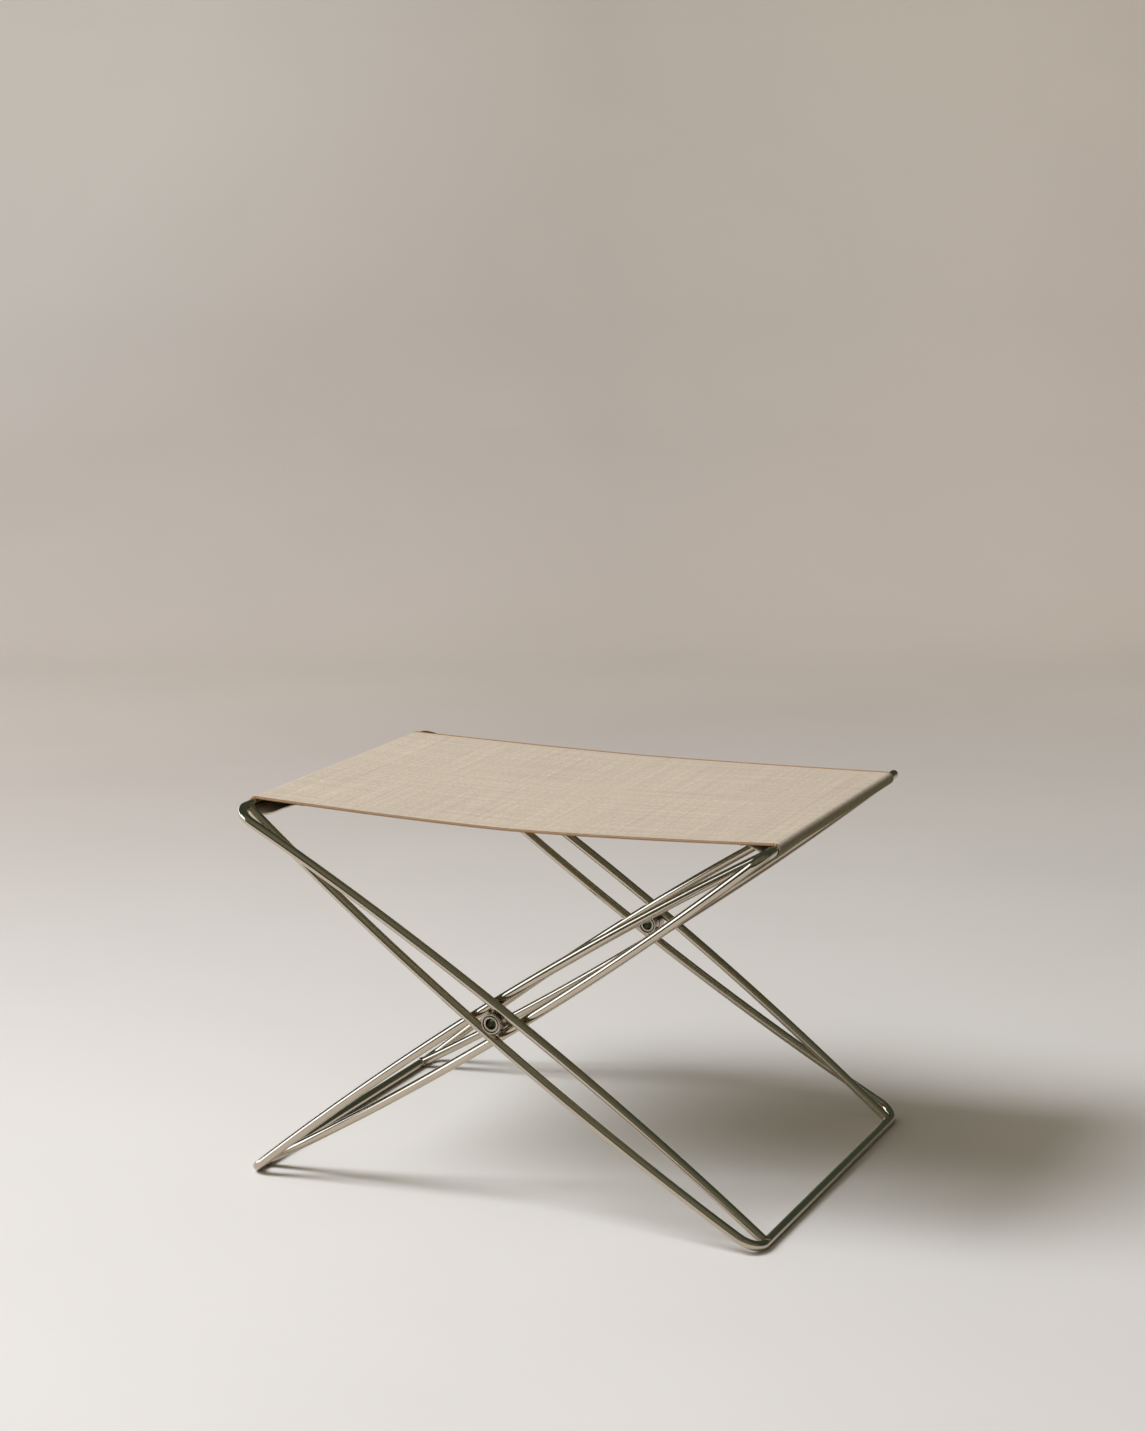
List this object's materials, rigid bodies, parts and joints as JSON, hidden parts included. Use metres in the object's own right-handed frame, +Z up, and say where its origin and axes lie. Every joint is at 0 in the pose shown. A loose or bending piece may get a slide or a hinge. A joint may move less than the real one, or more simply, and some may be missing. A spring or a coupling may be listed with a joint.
{
  "type": "folding stool",
  "caption": "Folding stool: two crossed frames of bent steel rod turn on hollow pivots and hold a canvas seat between their top bars.",
  "frame": {"origin": "centre of the footprint on the floor, with the stool open", "axes": "+X from the outer frame's top bar to the inner frame's top bar, +Y to the rear along the bars, +Z up"},
  "size_m": [0.585, 0.45, 0.4025],
  "materials": {
    "brushed_steel": "satin",
    "black_nylon": "matt",
    "natural_canvas": "woven",
    "brown_sewing_thread": "matt",
    "natural_sewing_thread": "matt"
  },
  "bodies": {
    "outer_frame": {"outer_frame_top_rod": "brushed_steel", "outer_frame_foot_rod": "brushed_steel", "front_outer_pivot_tube": "brushed_steel", "rear_outer_pivot_tube": "brushed_steel", "front_pivot_pin": "brushed_steel", "rear_pivot_pin": "brushed_steel", "front_outer_pivot_bush": "black_nylon", "rear_outer_pivot_bush": "black_nylon", "front_pivot_washer": "black_nylon", "rear_pivot_washer": "black_nylon", "seat_canvas": "natural_canvas", "left_hem_seam": "natural_sewing_thread", "front_edge_stitching": "brown_sewing_thread", "rear_edge_stitching": "brown_sewing_thread"},
    "inner_frame": {"inner_frame_top_rod": "brushed_steel", "inner_frame_foot_rod": "brushed_steel", "front_inner_pivot_tube": "brushed_steel", "rear_inner_pivot_tube": "brushed_steel", "front_inner_pivot_bush": "black_nylon", "rear_inner_pivot_bush": "black_nylon", "right_hem_seam": "natural_sewing_thread"}
  },
  "joints": [
    {"name": "frame_fold", "type": "hinge", "parent": "outer_frame", "child": "inner_frame", "pos_m": [0, 0, 0.20008], "axis": [0, -1, 0], "range_deg": [0, 108.7], "deforming": ["seat_canvas", "front_edge_stitching", "rear_edge_stitching"]}
  ]
}
